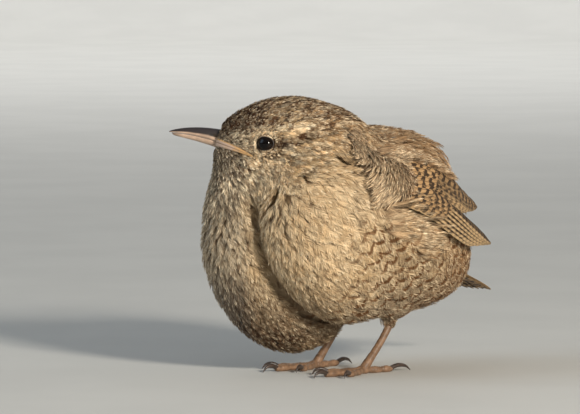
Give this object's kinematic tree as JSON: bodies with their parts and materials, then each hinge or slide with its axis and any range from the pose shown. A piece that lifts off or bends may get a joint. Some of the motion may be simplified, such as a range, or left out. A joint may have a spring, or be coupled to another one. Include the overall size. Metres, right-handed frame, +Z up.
{
  "type": "wren figure",
  "caption": "Life-size wren, fluffed into a ball and standing still, head in profile, slim bill a little raised, wings folded, short tail low.",
  "frame": {"origin": "on the ground, below the middle of the whole bird's bounding box", "axes": "+X towards the tail, +Y to the bird's right, +Z up"},
  "size_m": [0.0844, 0.0532, 0.0645],
  "materials": {
    "plumage": "soft matte body feathers, buff and grey-brown",
    "wing_feathers": "smooth vanes, rufous barred with black",
    "horn": "polished dark horn",
    "pale_horn": "polished pale pinkish horn",
    "eye": "wet dark brown",
    "leg_skin": "satin scaled skin"
  },
  "bodies": {
    "root": {"head": "plumage", "torso": "plumage", "left_thigh": "plumage", "right_thigh": "plumage", "left_wing": "wing_feathers", "right_wing": "wing_feathers", "tail": "wing_feathers", "upper_bill": "horn", "lower_bill": "pale_horn", "left_eye": "eye", "right_eye": "eye", "left_leg": "leg_skin", "right_leg": "leg_skin"}
  },
  "joints": []
}
